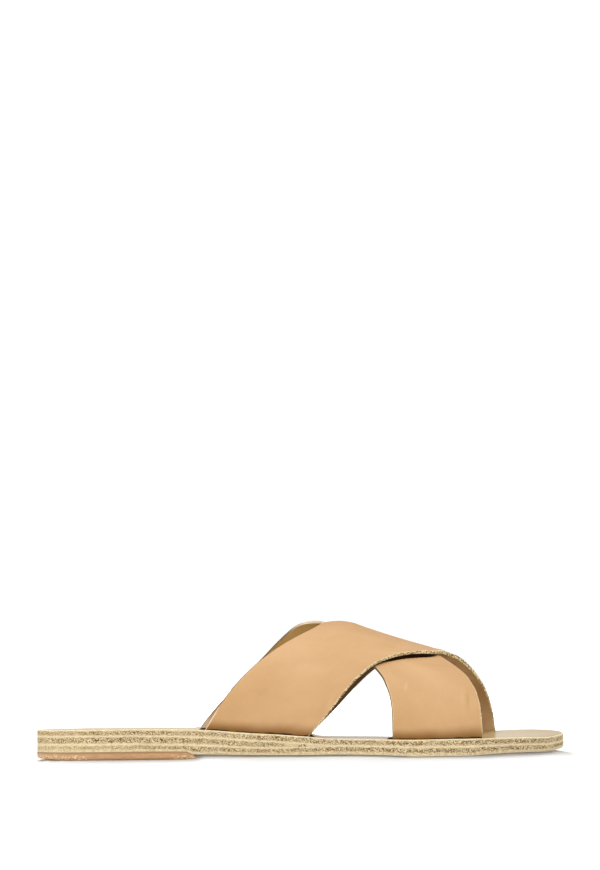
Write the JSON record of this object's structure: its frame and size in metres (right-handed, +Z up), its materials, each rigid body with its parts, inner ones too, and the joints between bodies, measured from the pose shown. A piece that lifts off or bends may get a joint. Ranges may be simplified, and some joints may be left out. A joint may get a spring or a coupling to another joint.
{
  "type": "greek sandal",
  "caption": "Flat leather slide sandal for the right foot: wide straps cross over the instep and come up through slits in a stacked leather sole with a low heel.",
  "frame": {"origin": "on the floor, under the middle of the sole's box", "axes": "+X from heel to toe, +Y to the inner (medial) side of the foot, +Z up"},
  "size_m": [0.2499, 0.0887, 0.064],
  "materials": {
    "lift_leather": "cut edge, reddish tan",
    "outsole_leather": "natural, fibrous cut edge",
    "wedge_leather": "natural, fibrous cut edge",
    "insole_leather": "natural, smooth grain",
    "strap_leather": "smooth tan grain, raw cut edges"
  },
  "bodies": {
    "root": {"heel_lift": "lift_leather", "outsole": "outsole_leather", "heel_wedge": "wedge_leather", "insole": "insole_leather", "upper": "strap_leather"}
  },
  "joints": []
}
